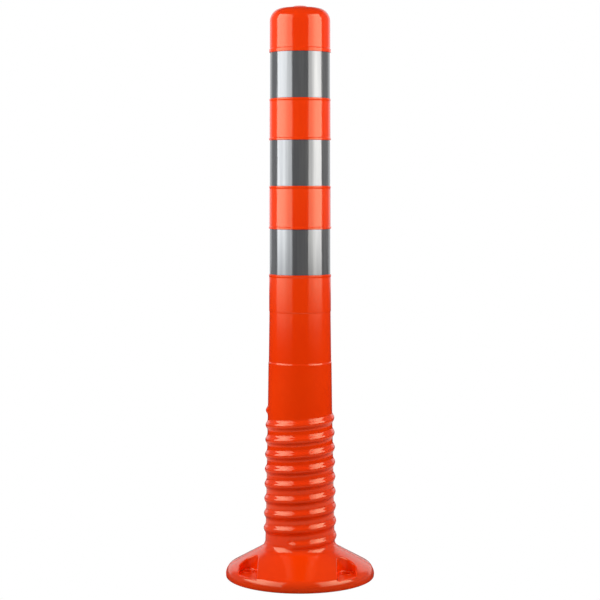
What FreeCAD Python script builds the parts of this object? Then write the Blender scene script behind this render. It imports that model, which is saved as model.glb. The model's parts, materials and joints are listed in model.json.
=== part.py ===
"""Flexible delineator post, 750 mm class.

The post is one moulding of orange thermoplastic polyurethane: a flange with three bolt pockets, a neck with a
one-start helical rib, and a hollow domed tube with three grooves for silver reflective tape. The moulding is
drawn whole, as it is made, and then divided at each turn of its neck, because the neck is where it bends.

Millimetres. Origin at the centre of the flange's underside, +Z up, front (two of the pockets) towards -Y.
"""

import FreeCAD, Part
import math
import os

import Sketcher
from FreeCAD import Placement, Rotation, Vector

# name, value, meaning. Every name is a cell of the sheet, and everything below is bound to those cells.
DIMENSIONS = [
    ("flange_radius", 100.0, "flange, outside"),
    ("rim_height", 12.5, "height where the cone would meet the flange's side, before rounding"),
    ("root_height", 42.3, "height where the cone meets the neck, before rounding"),
    ("rim_round", 12.0, "round over the rim"),
    ("foot_round", 2.0, "round under the rim"),
    ("root_round", 10.0, "fillet between cone and neck"),
    ("neck_foot_rise", 17.7, "from the root up to where the neck starts to bend"),
    ("neck_turns", 8.0, "turns of the neck that bend"),
    ("rib_pitch", 20.0, "rise of the rib per turn"),
    ("rib_crest_round", 6.5, "radius of the rib's rounded crest"),
    ("rib_height", 2.7, "rib above the neck wall"),
    ("rib_root_depth", 1.5, "how far the rib's section is sunk in the wall"),
    ("rib_start_rise", 6.9, "from the root up to the rib's centre line at its lower end"),
    ("rib_start_angle", -112.0, "azimuth of that end, from +X towards +Y"),
    ("rib_extra_turns", 0.84, "turns of the rib beyond the part that bends, both ends together"),
    ("tube_top_radius", 39.8, "tube under the shoulder"),
    ("tube_flare", 1.45, "widening from the shoulder down to the label recess"),
    ("recess_flare", 1.95, "widening from the top of the label recess down to the neck"),
    ("neck_flare", 3.6, "widening of the neck down to where it meets the cone"),
    ("crown_height", 761.5, "crown, without the gate disc"),
    ("crown_drop", 2.5, "fall of the crown from the axis to the shoulder"),
    ("shoulder_round", 15.0, "round of the shoulder"),
    ("gate_radius", 9.0, "disc left by the mould's gate"),
    ("gate_height", 1.3, "gate disc above the crown"),
    ("tube_wall", 3.4, "wall at the closed end of the bore"),
    ("bore_draft", 1.6, "widening of the bore down to the underside"),
    ("crown_wall", 5.0, "wall over the bore's closed end"),
    ("pocket_floor", 13.0, "floor of the bolt pockets"),
    ("pocket_round", 12.4, "half the width of a pocket, and the round of its closed end"),
    ("bolt_inset", 25.0, "from the flange's side in to the bolt holes"),
    ("bolt_hole_radius", 6.0, "hole for an M10 anchor bolt"),
    ("boss_radius", 8.5, "raised ring round each hole"),
    ("boss_height", 1.0, "raised ring above the floor"),
    ("recess_drop", 49.0, "from the lower tape down to the label recess"),
    ("recess_height", 68.0, "label recess"),
    ("recess_depth", 0.45, "label recess into the wall"),
    ("tape_height", 60.0, "each tape"),
    ("cap_height", 60.1, "from the crown down to the upper tape"),
    ("upper_gap", 55.2, "between the upper and middle tapes"),
    ("lower_gap", 57.3, "between the middle and lower tapes"),
    ("tape_thickness", 0.4, "tape with its adhesive"),
    ("groove_depth", 0.9, "tape groove into the wall"),
    ("groove_play", 0.4, "groove beyond the tape at each edge"),
    ("glue_line", 0.05, "between groove floor and tape"),
]
BACK = 90  # azimuth of the bolt hole at the back
BOLT_AZIMUTHS = [BACK, BACK + 120, BACK + 240]
CLEAR = 20.0  # how far a cutting profile reaches past what it cuts

doc = FreeCAD.newDocument("delineator_post")
sheet = doc.addObject("Spreadsheet::Sheet", "dims")
for row, (alias, value, meaning) in enumerate(DIMENSIONS, start=1):
    sheet.set(f"A{row}", meaning)
    sheet.set(f"B{row}", str(value))
    sheet.setAlias(f"B{row}", alias)
doc.recompute()

# Formulas that several features share, in terms of the cells.
NECK_FOOT = "(dims.root_height + dims.neck_foot_rise)"
NECK_TOP = f"({NECK_FOOT} + dims.neck_turns * dims.rib_pitch)"
NECK_TAPER = f"(dims.neck_flare / ({NECK_TOP} - dims.root_height))"
TUBE_RADIUS = "(dims.tube_top_radius + dims.tube_flare)"
NECK_TOP_RADIUS = f"({TUBE_RADIUS} + dims.recess_flare)"
NECK_ROOT_RADIUS = f"({NECK_TOP_RADIUS} + dims.neck_flare)"
BORE_TOP_RADIUS = "(dims.tube_top_radius - dims.tube_wall)"
BORE_FOOT_RADIUS = f"({BORE_TOP_RADIUS} + dims.bore_draft)"
BOLT_CIRCLE = "(dims.flange_radius - dims.bolt_inset)"
SHOULDER = "(dims.crown_height - dims.crown_drop)"
UPPER_TAPE = "(dims.crown_height - dims.cap_height - dims.tape_height)"
MIDDLE_TAPE = f"({UPPER_TAPE} - dims.upper_gap - dims.tape_height)"
LOWER_TAPE = f"({MIDDLE_TAPE} - dims.lower_gap - dims.tape_height)"
TAPES = {"upper": UPPER_TAPE, "middle": MIDDLE_TAPE, "lower": LOWER_TAPE}  # each one's lower edge
RECESS_TOP = f"({LOWER_TAPE} - dims.recess_drop)"
RECESS_BOTTOM = f"({RECESS_TOP} - dims.recess_height)"


# The same for two radii that features start from as plain numbers.
bolt_circle = sheet.flange_radius - sheet.bolt_inset
neck_root_radius = sheet.tube_top_radius + sheet.tube_flare + sheet.recess_flare + sheet.neck_flare


def wall_radius(height):
    """Formula of the tube's outside at a height between the label recess and the shoulder."""
    return f"({TUBE_RADIUS} - ({height} - {RECESS_TOP}) * dims.tube_flare / ({SHOULDER} - {RECESS_TOP}))"


def lower_wall_radius(height):
    """Formula of the tube's outside at a height between the neck and the top of the label recess."""
    return f"({NECK_TOP_RADIUS} - ({height} - {NECK_TOP}) * dims.recess_flare / ({RECESS_TOP} - {NECK_TOP}))"


def new_body(label):
    body = doc.addObject("PartDesign::Body", label)
    body.Label = label
    return body


def new_sketch(body, name, plane, offset=None):
    """A sketch on one of the body's own origin planes."""
    sketch = body.newObject("Sketcher::SketchObject", name)
    origin = [f for f in body.Origin.OriginFeatures if f.Role == plane]
    sketch.AttachmentSupport = [(origin[0], "")]
    sketch.MapMode = "FlatFace"
    if offset:
        sketch.setExpression("AttachmentOffset.Base.z", offset)
    return sketch


def bind(sketch, kind, where, formula, start=1.0):
    """Adds a dimension to a sketch, with the value its geometry starts from, and binds it to a formula."""
    index = sketch.addConstraint(Sketcher.Constraint(kind, *where, start))
    sketch.setExpression(f"Constraints[{index}]", formula)


def place(sketch, edge, end, x, y):
    """Fixes one end of an edge by its distances from the sketch's origin."""
    point = sketch.getPoint(edge, end)
    bind(sketch, "DistanceX", (-1, 1, edge, end), x, point.x)
    bind(sketch, "DistanceY", (-1, 1, edge, end), y, point.y)


def polygon(sketch, corners):
    """A closed outline through corners given as pairs of formulas."""
    count = len(corners)
    start = [Vector(1.0 + n, 1.0 + n * n, 0) for n in range(count)]
    for n in range(count):
        sketch.addGeometry(Part.LineSegment(start[n], start[(n + 1) % count]), False)
    for n in range(count):
        sketch.addConstraint(Sketcher.Constraint("Coincident", n, 2, (n + 1) % count, 1))
        place(sketch, n, 1, *corners[n])


def turned(body, kind, name, corners):
    """A Revolution or Groove of an outline in the XZ plane, all the way round Z."""
    sketch = new_sketch(body, f"{name}_outline", "XZ_Plane")
    polygon(sketch, corners)
    feature = body.newObject(f"PartDesign::{kind}", name)
    feature.Profile = sketch
    feature.ReferenceAxis = (sketch, ["V_Axis"])
    feature.Angle = 360
    doc.recompute()
    return feature


def circle_at(feature, radius, height):
    """Name of the full circular edge of that radius at that height."""
    for number, edge in enumerate(feature.Shape.Edges, start=1):
        if isinstance(edge.Curve, Part.Circle) and abs(edge.Curve.Radius - radius) < 1e-3:
            if abs(edge.Curve.Center.z - height) < 1e-3:
                return f"Edge{number}"
    raise ValueError(f"no edge of radius {radius} at height {height} on {feature.Name}")


def round_edge(body, feature, name, cell, radius, height):
    fillet = body.newObject("PartDesign::Fillet", name)
    fillet.Base = (feature, [circle_at(feature, radius, height)])
    fillet.setExpression("Radius", f"dims.{cell}")
    doc.recompute()
    return fillet


def groove_corners(bottom, top, radius_at, depth):
    """Outline that cuts a shallow groove into the wall, its floor parallel to the wall."""
    floor = [(f"{radius_at(z)} - {depth}", z) for z in (bottom, top)]
    return [*floor, (f"{floor[1][0]} + {CLEAR}", top), (f"{floor[0][0]} + {CLEAR}", bottom)]


def turn_outside(body):
    """The outside without the rib: flange, neck, tube and crown."""
    stock = turned(
        body,
        "Revolution",
        "outside",
        [
            ("0", "0"),
            ("dims.flange_radius", "0"),
            ("dims.flange_radius", "dims.rim_height"),
            (NECK_ROOT_RADIUS, "dims.root_height"),
            (NECK_TOP_RADIUS, NECK_TOP),
            (TUBE_RADIUS, RECESS_TOP),
            ("dims.tube_top_radius", SHOULDER),
            ("0", "dims.crown_height"),
        ],
    )
    shoulder = sheet.crown_height - sheet.crown_drop
    stock = round_edge(body, stock, "rim", "rim_round", sheet.flange_radius, sheet.rim_height)
    stock = round_edge(body, stock, "foot", "foot_round", sheet.flange_radius, 0)
    stock = round_edge(body, stock, "root", "root_round", neck_root_radius, sheet.root_height)
    round_edge(body, stock, "shoulder", "shoulder_round", sheet.tube_top_radius, shoulder)


def wind_rib(body):
    """The rib: a rounded bead that climbs the neck like a right-handed thread.

    Its section is a slice of a circle. The straight side stands in the wall, and the rest reaches out of it.
    """
    section = new_sketch(body, "rib_section", "XZ_Plane")
    section.AttachmentOffset = Placement(Vector(), Rotation(Vector(0, 1, 0), sheet.rib_start_angle))
    wall_side = f"{NECK_ROOT_RADIUS} - dims.rib_start_rise * {NECK_TAPER} - dims.rib_root_depth"
    middle = "dims.root_height + dims.rib_start_rise"
    reach = "(dims.rib_height + dims.rib_root_depth)"
    half = f"sqrt({reach} * (2 * dims.rib_crest_round - {reach}))"
    depth = sheet.rib_height + sheet.rib_root_depth
    chord = math.sqrt(depth * (2 * sheet.rib_crest_round - depth))
    side = Vector(neck_root_radius - sheet.rib_root_depth, sheet.root_height, 0)
    low, high, crest = side - Vector(0, chord, 0), side + Vector(0, chord, 0), side + Vector(depth, 0, 0)
    section.addGeometry(Part.Arc(low, crest, high), False)
    section.addGeometry(Part.LineSegment(high, low), False)
    section.addConstraint(Sketcher.Constraint("Coincident", 0, 2, 1, 1))
    section.addConstraint(Sketcher.Constraint("Coincident", 1, 2, 0, 1))
    bind(section, "Radius", (0,), "dims.rib_crest_round", sheet.rib_crest_round)
    place(section, 1, 1, wall_side, f"{middle} + {half}")
    place(section, 1, 2, wall_side, f"{middle} - {half}")
    doc.recompute()
    rib = body.newObject("PartDesign::AdditiveHelix", "rib")
    rib.Profile = section
    rib.ReferenceAxis = (section, ["V_Axis"])
    rib.Mode = "pitch-turns-angle"
    rib.setExpression("Pitch", "dims.rib_pitch")
    rib.setExpression("Turns", "dims.neck_turns + dims.rib_extra_turns")
    rib.setExpression("Angle", f"-atan({NECK_TAPER})")
    doc.recompute()


def cut_hollow(body):
    """The bore, open at the underside and closed under the crown."""
    end = "(dims.crown_height - dims.crown_wall)"
    turned(
        body,
        "Groove",
        "bore",
        [
            ("0", f"-{CLEAR}"),
            (BORE_FOOT_RADIUS, f"-{CLEAR}"),
            (BORE_FOOT_RADIUS, "0"),
            (BORE_TOP_RADIUS, f"{end} - dims.crown_drop"),
            ("0", end),
        ],
    )


def cut_grooves(body):
    """A shallow groove for each tape, and the label recess under them."""
    for name, tape in TAPES.items():
        bottom = f"({tape} - dims.groove_play)"
        top = f"({tape} + dims.tape_height + dims.groove_play)"
        corners = groove_corners(bottom, top, wall_radius, "dims.groove_depth")
        turned(body, "Groove", f"{name}_groove", corners)
    recess = groove_corners(RECESS_BOTTOM, RECESS_TOP, lower_wall_radius, "dims.recess_depth")
    turned(body, "Groove", "label_recess", recess)


def bolt_centre(azimuth):
    return tuple(f"({BOLT_CIRCLE} * {turn}({azimuth} deg))" for turn in ("cos", "sin"))


def prism(body, kind, sketch, length=None):
    """A Pad or Pocket that grows upwards from its sketch, right through when it has no length."""
    feature = body.newObject(f"PartDesign::{kind}", sketch.Name.replace("_outline", ""))
    feature.Profile = sketch
    feature.Reversed = kind == "Pocket"
    if length:
        feature.setExpression("Length", length)
    else:
        feature.Type = "ThroughAll"
    doc.recompute()


def cut_pockets(body):
    """A U round each bolt hole, its sides in line with the way the mould opens, front to back."""
    sketch = new_sketch(body, "pockets_outline", "XY_Plane", "dims.pocket_floor")
    for n, azimuth in enumerate(BOLT_AZIMUTHS):
        x, y = bolt_centre(azimuth)
        opens = 1 if azimuth == BACK else -1  # which way the open end points along Y
        left, right = f"{x} - dims.pocket_round", f"{x} + dims.pocket_round"
        far = f"{opens} * (dims.flange_radius + {CLEAR})"
        along, across = math.cos(math.radians(azimuth)), math.sin(math.radians(azimuth))
        hole = Vector(along, across, 0) * bolt_circle
        side, inward = Vector(sheet.pocket_round, 0, 0), Vector(0, -opens * sheet.pocket_round, 0)
        out = Vector(0, opens * sheet.flange_radius, 0)
        near = [hole - side, hole + side]
        beyond = [near[0] + out, near[1] + out]
        for ends in ((near[0], beyond[0]), (beyond[0], beyond[1]), (beyond[1], near[1])):
            sketch.addGeometry(Part.LineSegment(*ends), False)
        sketch.addGeometry(Part.Arc(near[1], hole + inward, near[0]), False)
        first, arc = 4 * n, 4 * n + 3
        for edge in (first, first + 1):
            sketch.addConstraint(Sketcher.Constraint("Coincident", edge, 2, edge + 1, 1))
        # an arc is stored anticlockwise, so which of its ends meets which side depends on the way it opens
        ends = (2, 1) if opens < 0 else (1, 2)
        sketch.addConstraint(Sketcher.Constraint("Coincident", arc, ends[0], first, 1))
        sketch.addConstraint(Sketcher.Constraint("Coincident", arc, ends[1], first + 2, 2))
        place(sketch, first, 1, left, y)
        place(sketch, first, 2, left, far)
        place(sketch, first + 2, 1, right, far)
        place(sketch, first + 2, 2, right, y)
        bind(sketch, "DistanceY", (-1, 1, arc, 3), y, hole.y)
    prism(body, "Pocket", sketch)


def bolt_circles(body, name, cell, height):
    """A sketch with one circle round each bolt's axis."""
    sketch = new_sketch(body, name, "XY_Plane", height)
    for n, azimuth in enumerate(BOLT_AZIMUTHS):
        sketch.addGeometry(Part.Circle(Vector(n, n, 0), Vector(0, 0, 1), 1), False)
        place(sketch, n, 3, *bolt_centre(azimuth))
        bind(sketch, "Radius", (n,), f"dims.{cell}")
    return sketch


def add_gate_disc(body):
    sketch = new_sketch(body, "gate_disc_outline", "XY_Plane", "dims.crown_height - dims.crown_drop")
    sketch.addGeometry(Part.Circle(Vector(), Vector(0, 0, 1), 1), False)
    sketch.addConstraint(Sketcher.Constraint("Coincident", 0, 3, -1, 1))
    bind(sketch, "Radius", (0,), "dims.gate_radius")
    prism(body, "Pad", sketch, "dims.gate_height + dims.crown_drop")


def make_moulding():
    body = new_body("moulding")
    turn_outside(body)
    wind_rib(body)
    cut_hollow(body)
    cut_grooves(body)
    cut_pockets(body)
    boss_outline = bolt_circles(body, "bosses_outline", "boss_radius", "dims.pocket_floor")
    prism(body, "Pad", boss_outline, "dims.boss_height")
    prism(body, "Pocket", bolt_circles(body, "holes_outline", "bolt_hole_radius", "0"))
    add_gate_disc(body)
    return body


def slice_of(body, label, bottom, top):
    """The part of the moulding between two heights, as a node of its own."""
    slab = doc.addObject("Part::Cylinder", f"{label}_slab")
    slab.setExpression("Radius", f"dims.flange_radius + {CLEAR}")
    slab.setExpression("Height", f"{top} - {bottom}")
    slab.setExpression("Placement.Base.z", bottom)
    node = doc.addObject("Part::Common", label)
    node.Base, node.Tool = body, slab
    node.Label = label
    return node


def make_tape(name, bottom):
    """A band of tape, stuck round the floor of its groove."""
    top = f"({bottom} + dims.tape_height)"
    inner = [(f"{wall_radius(z)} - dims.groove_depth + dims.glue_line", z) for z in (bottom, top)]
    outer = [(f"{radius} + dims.tape_thickness", z) for radius, z in reversed(inner)]
    body = new_body(f"tape_{name}")
    turned(body, "Revolution", f"{name}_band", [*inner, *outer])
    return body


def neck_height(turn):
    return f"({NECK_FOOT} + {turn} * dims.rib_pitch)"


moulding = make_moulding()
turns = range(int(sheet.neck_turns))
nodes = [slice_of(moulding, "base_flange", f"-{CLEAR}", NECK_FOOT)]
for turn in turns:
    nodes.append(slice_of(moulding, f"neck_turn_{turn + 1}", neck_height(turn), neck_height(turn + 1)))
nodes.append(slice_of(moulding, "upper_tube", NECK_TOP, f"(dims.crown_height + {CLEAR})"))
nodes += [make_tape(name, bottom) for name, bottom in TAPES.items()]
doc.recompute()

for thing in doc.Objects:
    if {"Invalid", "Error"} & set(thing.State):
        raise RuntimeError(f"{thing.Label} failed: {thing.State}")
for node in nodes:
    if node.Shape.isNull() or not node.Shape.isValid():
        raise RuntimeError(f"{node.Label} has no valid shape")
pieces_volume = sum(node.Shape.Volume for node in nodes if not node.Label.startswith("tape"))
if abs(pieces_volume - moulding.Shape.Volume) > 1e-4 * moulding.Shape.Volume:
    raise RuntimeError("the slices don't add up to the moulding")

os.makedirs("parts", exist_ok=True)
for node in nodes:
    node.Shape.exportStep(os.path.join("parts", f"{node.Label}.step"))
    print(f"{node.Label}: {node.Shape.Volume / 1000:.1f} cm3, {len(node.Shape.Solids)} solid")
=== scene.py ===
# %% [markdown]
# # A flexible delineator post
#
# A post like this stands between traffic lanes and lies down when a car drives over it. The real one is a
# single moulding of orange polyurethane, with three bands of silver reflective tape stuck round its tube.
# This notebook builds its looks around a imported model that already has the sizes, the bodies and the joints.
# The model is loaded first and never moved. Its nodes are then stood in for by smoother pieces. The tube and the
# tapes ride on the tube's body and the flange on the base's body; the neck's pieces are not attached to any body.

# %% The frame
import json
import math

import bpy
import numpy as np
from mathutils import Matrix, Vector
from mathutils.geometry import delaunay_2d_cdt


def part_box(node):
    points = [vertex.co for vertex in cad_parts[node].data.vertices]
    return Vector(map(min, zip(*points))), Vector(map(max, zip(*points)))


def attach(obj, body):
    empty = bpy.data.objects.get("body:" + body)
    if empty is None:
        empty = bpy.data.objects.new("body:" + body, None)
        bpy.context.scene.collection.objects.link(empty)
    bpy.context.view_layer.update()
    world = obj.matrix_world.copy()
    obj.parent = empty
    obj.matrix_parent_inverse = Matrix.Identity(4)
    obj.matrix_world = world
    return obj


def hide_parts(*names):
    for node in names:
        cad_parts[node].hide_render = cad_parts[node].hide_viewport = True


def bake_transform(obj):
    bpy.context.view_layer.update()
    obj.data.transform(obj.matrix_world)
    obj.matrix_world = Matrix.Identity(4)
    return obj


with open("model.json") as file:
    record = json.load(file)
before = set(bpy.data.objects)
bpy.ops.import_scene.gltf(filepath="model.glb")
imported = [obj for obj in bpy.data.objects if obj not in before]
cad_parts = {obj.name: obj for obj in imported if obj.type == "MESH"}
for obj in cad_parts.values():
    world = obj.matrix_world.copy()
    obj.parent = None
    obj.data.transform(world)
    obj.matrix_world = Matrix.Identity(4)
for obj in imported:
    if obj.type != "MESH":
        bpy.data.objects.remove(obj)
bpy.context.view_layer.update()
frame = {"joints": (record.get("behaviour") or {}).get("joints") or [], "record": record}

MM = 0.001

# %% [markdown]
# ## Sizes
#
# Everything below is worked out in millimetres and made metres at the very end. Sizes that the packed
# model knows are read from it, such as the heights of the tapes, the hinges of the neck and the bolt
# circle. The rest are sizes of the moulding, mostly those that the model was drawn with, written once here.


# %% Sizes read from the model
def span(node):
    """A node's lowest and highest point, in millimetres."""
    low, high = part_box(node)
    return low.z / MM, high.z / MM


pattern = next(m for m in frame["record"]["mounts"] if m["kind"] == "bolt_pattern")["dims"]
BOLT_CIRCLE = pattern["pcd_mm"] / 2
HOLE_RADIUS = pattern["hole_r_mm"]
FLANGE_RADIUS = round(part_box("base_flange")[1].x / MM, 1)
NECK_TOP = span("neck_turn_8")[1]
GATE_TOP = span("upper_tube")[1]
HINGES = [joint["pos_m"][2] / MM for joint in frame["joints"]]
TAPES = [span(f"tape_{name}") for name in ("lower", "middle", "upper")]
print("hinges at", [round(z) for z in HINGES], "mm; tapes", [[round(z, 1) for z in tape] for tape in TAPES])

# %% Sizes of the moulding
RIM_HEIGHT, ROOT_HEIGHT = 12.5, 42.3  # the cone at the flange's side and at the neck, before rounding
FOOT_ROUND, ROOT_ROUND = 1.6, 14.0
RIM_LEVEL = 2.0  # where the flange is widest
NECK_ROOT_RADIUS, NECK_TOP_RADIUS = 46.8, 43.2
TUBE_RADIUS, TUBE_TOP_RADIUS = 41.25, 39.8  # at the top of the label recess, and under the shoulder
GATE_RADIUS, GATE_HEIGHT = 9.0, 1.3  # the disc that the mould's gate leaves on the crown
CROWN = GATE_TOP - GATE_HEIGHT
SHOULDER = CROWN - 2.5
SHOULDER_ROUND = 17.0
BORE_FOOT_RADIUS, BORE_TOP_RADIUS, CROWN_WALL = 38.0, 36.4, 5.0
RECESS = (TAPES[0][0] - 117.0, TAPES[0][0] - 49.0)  # the label recess, bottom and top
CUT = 12.5  # the neck's pieces meet this far above and below each hinge that folds
WALL_STEP = 0.5  # the height of one row of the neck's grids
ROUND_STEP = 7  # degrees of turn between the points of a round

# %% [markdown]
# ## Grids
#
# Each surface here is a formula of two parameters, worked out with numpy on a whole grid at once. The
# formula also gives the direction that the surface faces, so each grid brings its own normals. That
# matters on a glossy moulding: a softbox reflected in facets looks broken, and one reflected across the
# seam between two pieces would jump, unless both sides of the seam share one formula.


# %% From formulas to meshes
def unit(vectors):
    return vectors / np.linalg.norm(vectors, axis=-1, keepdims=True)


def grid_faces(rows, columns):
    """Quads of a grid whose last column is joined to its first."""
    corner = np.arange(rows * columns).reshape(rows, columns)
    right = np.roll(corner, -1, axis=1)
    return np.stack([corner[:-1], right[:-1], right[1:], corner[1:]], axis=-1).reshape(-1, 4)


def facing(points, normals, faces):
    """A patch: its points, its normals and its faces, turned so that they face the way the normals do."""
    a, b, c = (points[faces[:, i]] for i in (0, 1, 2))
    side = np.einsum("ij,ij->i", np.cross(b - a, c - a), normals[faces[:, 0]] + normals[faces[:, 1]])
    return points, normals, np.where(side[:, None] < 0, faces[:, ::-1], faces)


def sheet(surface, angles, along):
    """A patch round the axis. surface(angle, along) gives x, y, z.

    The cross product of its two slopes, each measured over a very small step, gives the normal.
    """
    angle, at = np.meshgrid(angles, along)
    step = 1e-5
    across = surface(angle + step, at) - surface(angle - step, at)
    up = surface(angle, at + step) - surface(angle, at - step)
    normals = unit(np.cross(across, up)).reshape(-1, 3)
    return facing(surface(angle, at).reshape(-1, 3), normals, grid_faces(*angle.shape))


def weld(points):
    """For each point, the number of the first point in the same place, to a thousandth of a millimetre."""
    key = np.floor(points * 1000 + 0.437).astype(np.int64)
    _, first, number = np.unique(key, axis=0, return_index=True, return_inverse=True)
    return points[first], number.ravel()


def build(name, patches, material):
    """One closed mesh of several patches.

    Points that patches share are welded, and corners keep their own patch's normal.
    """
    start = np.cumsum([0] + [len(points) for points, _, _ in patches])
    points, number = weld(np.concatenate([points for points, _, _ in patches]))
    normals = np.concatenate([normals for _, normals, _ in patches])
    corners, owners, sizes = [], [], []
    for (_, _, faces), first in zip(patches, start):
        corner = (faces + first).astype(np.int64)
        place = number[corner]
        fresh = place != np.roll(place, 1, axis=1)  # a quad that touches a pole loses one corner
        keep = fresh.sum(axis=1) > 2
        corners.append(place[keep][fresh[keep]])
        owners.append(corner[keep][fresh[keep]])
        sizes.append(fresh[keep].sum(axis=1))
    corners, owners, sizes = (np.concatenate(x) for x in (corners, owners, sizes))
    mesh = bpy.data.meshes.new(name)
    mesh.vertices.add(len(points))
    mesh.vertices.foreach_set("co", (points * MM).astype(np.float32).ravel())
    mesh.loops.add(len(corners))
    mesh.loops.foreach_set("vertex_index", corners.astype(np.int32))
    mesh.polygons.add(len(sizes))
    mesh.polygons.foreach_set("loop_start", (np.cumsum(sizes) - sizes).astype(np.int32))
    mesh.update(calc_edges=True)
    mesh.shade_smooth()
    mesh.normals_split_custom_set(normals[owners].tolist())
    mesh.materials.append(material)
    piece = bpy.data.objects.new(name, mesh)
    bpy.context.scene.collection.objects.link(piece)
    use = np.zeros(len(mesh.edges), int)
    np.add.at(use, np.array([loop.edge_index for loop in mesh.loops]), 1)
    print(f"{name}: {int((sizes - 2).sum())} triangles, {int((use != 2).sum())} open edges")
    return piece


# %% [markdown]
# ## Turned profiles
#
# Most of the moulding is turned about its axis. A profile is a line through a few corners in the plane of
# radius and height, each corner with its own round, as a drawing would give it. The line runs with the
# material on its left: out along an underside, up an outside, in over a top and down a bore, so one rule
# gives the way it faces.


# %% Profiles
def rounded(corners):
    """The points and normals of a line through corners (radius, height, round).

    A round is an arc that touches both its sides: its ends are round * tan(turn / 2) away from the corner.
    A round of 0 is a sharp edge, which keeps both its sides' normals.
    """
    place = np.array([corner[:2] for corner in corners], float)
    way = unit(np.diff(place, axis=0))
    out = np.stack([way[:, 1], -way[:, 0]], axis=1)
    points, normals = [place[:1]], [out[:1]]
    for (r, z, size), here, there, n0, n1 in zip(corners[1:-1], way, way[1:], out, out[1:]):
        if size == 0:
            points.append(np.array([[r, z], [r, z]]))
            normals.append(np.array([n0, n1]))
            continue
        turn = math.atan2(here[0] * there[1] - here[1] * there[0], here @ there)
        steps = max(3, int(abs(math.degrees(turn)) / ROUND_STEP) + 2)
        share = np.linspace(0, 1, steps)[:, None]
        angle = abs(turn)
        n = (np.sin((1 - share) * angle) * n0 + np.sin(share * angle) * n1) / math.sin(angle)
        side = 1 if turn > 0 else -1
        centre = np.array([r, z]) - side * size * (n0 + n1) / (1 + n0 @ n1)
        points.append(centre + side * size * n)
        normals.append(n)
    points.append(place[-1:])
    normals.append(out[-1:])
    return np.concatenate(points), np.concatenate(normals)


def turned(profile, angles):
    """A patch: the profile carried round the axis."""
    (r, z), (nr, nz) = (part.T for part in profile)
    c, s = np.cos(angles), np.sin(angles)
    points = np.stack([np.outer(r, c), np.outer(r, s), np.outer(z, np.ones_like(c))], axis=-1)
    normals = np.stack([np.outer(nr, c), np.outer(nr, s), np.outer(nz, np.ones_like(c))], axis=-1)
    return facing(points.reshape(-1, 3), normals.reshape(-1, 3), grid_faces(len(r), len(angles)))


# %% [markdown]
# ## The mould's parting line
#
# The mould opens front to back, a few degrees round from the bolt pattern. So a fine ridge runs up both
# sides of the moulding, where the two halves met, and over the crown. It stands a tenth to a third of a
# millimetre proud. A point near the parting plane moves along its own normal by a bell curve of its
# distance from that plane, and its normal tilts by the curve's slope.

# %% Parting line
RIDGE_WIDTH = 0.4
RIDGE_ON_FLANGE, RIDGE_ON_TUBE = 0.35, 0.10  # how proud it stands
RIDGE_CLEAR = 2.0  # it stops this far from a tape
GATE_CLEAR = 12.0  # and this far from the axis, where the gate disc is
DRAW_TURN = math.radians(4.5)
DRAW = np.array([math.sin(DRAW_TURN), -math.cos(DRAW_TURN)])  # the way the mould's front half pulls off


def with_parting_line(patch):
    """The patch with the ridge: height * exp(-(distance / width) ** 2), added along the normal."""
    points, normals, faces = patch
    away, z = points[:, :2] @ DRAW, points[:, 2]
    high = np.interp(z, [0.5, 2.5, 40, 60], [0, RIDGE_ON_FLANGE, RIDGE_ON_FLANGE, RIDGE_ON_TUBE])
    high = high * (np.hypot(*points[:, :2].T) > GATE_CLEAR)
    for low, top in TAPES:
        high = np.where((z > low - RIDGE_CLEAR) & (z < top + RIDGE_CLEAR), 0.0, high)
    bell = high * np.exp(-((away / RIDGE_WIDTH) ** 2))
    slope = -2 * away / RIDGE_WIDTH**2 * bell * (abs(normals[:, :2] @ DRAW) < 0.8)
    tilt = np.concatenate([slope[:, None] * DRAW, np.zeros((len(slope), 1))], axis=1)
    return points + normals * bell[:, None], unit(normals - tilt), faces


BESIDE_RIDGE = np.array([-1.3, -0.9, -0.6, -0.35, -0.17, 0, 0.17, 0.35, 0.6, 0.9, 1.3])


def columns(radius, count=240):
    """Angles round the axis, evenly spaced, with extra ones beside the parting line at that radius."""
    even = np.linspace(0, 2 * math.pi, count, endpoint=False)
    even = even[abs(radius * np.sin(even)) > 1.4]
    beside = np.arcsin(BESIDE_RIDGE / radius)
    return np.sort((np.concatenate([even, beside, math.pi + beside]) + DRAW_TURN) % (2 * math.pi))


# %% [markdown]
# ## The neck
#
# The neck is the part that bends. A rib winds round it like the thread of a screw, right-handed, and
# shares out the bend over its whole length. Across, it is a soft wave: a slice of a circle for its crest,
# and a slice of a hollow circle on each side that lets it run out into the wall. Here that is one formula
# for the radius at any angle and height: the wall's radius plus the rib's height there. The same formula
# serves the flange's top end and all nine pieces of the neck, so they meet without a mark.

# %% The neck's formulas
RIB_PITCH, RIB_HEIGHT, RIB_CREST, RIB_HOLLOW = 20.0, 2.7, 6.5, 7.5
RIB_STEEPEST = math.acos(1 - RIB_HEIGHT / (RIB_CREST + RIB_HOLLOW))  # the slope where crest and hollow meet
RIB_START_ANGLE, RIB_START_Z, RIB_TURNS = math.radians(-112), 49.2, 8.86
RIB_RISES, RIB_SINKS = 17, 7  # millimetres along the rib that its lower and its upper end take
MM_PER_TURN = 2 * math.pi * 45
NECK_SLOPE = (NECK_TOP_RADIUS - NECK_ROOT_RADIUS) / (NECK_TOP - ROOT_HEIGHT)
CONE_SLOPE = (FLANGE_RADIUS - NECK_ROOT_RADIUS) / (RIM_HEIGHT - ROOT_HEIGHT)  # radius per mm of height


def smaller(a, b, reach):
    """The smaller of two numbers, with a smooth change where they differ by under reach."""
    share = np.clip(0.5 - 0.5 * (a - b) / reach, 0, 1)
    return b + (a - b) * share - reach * share * (1 - share)


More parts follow.
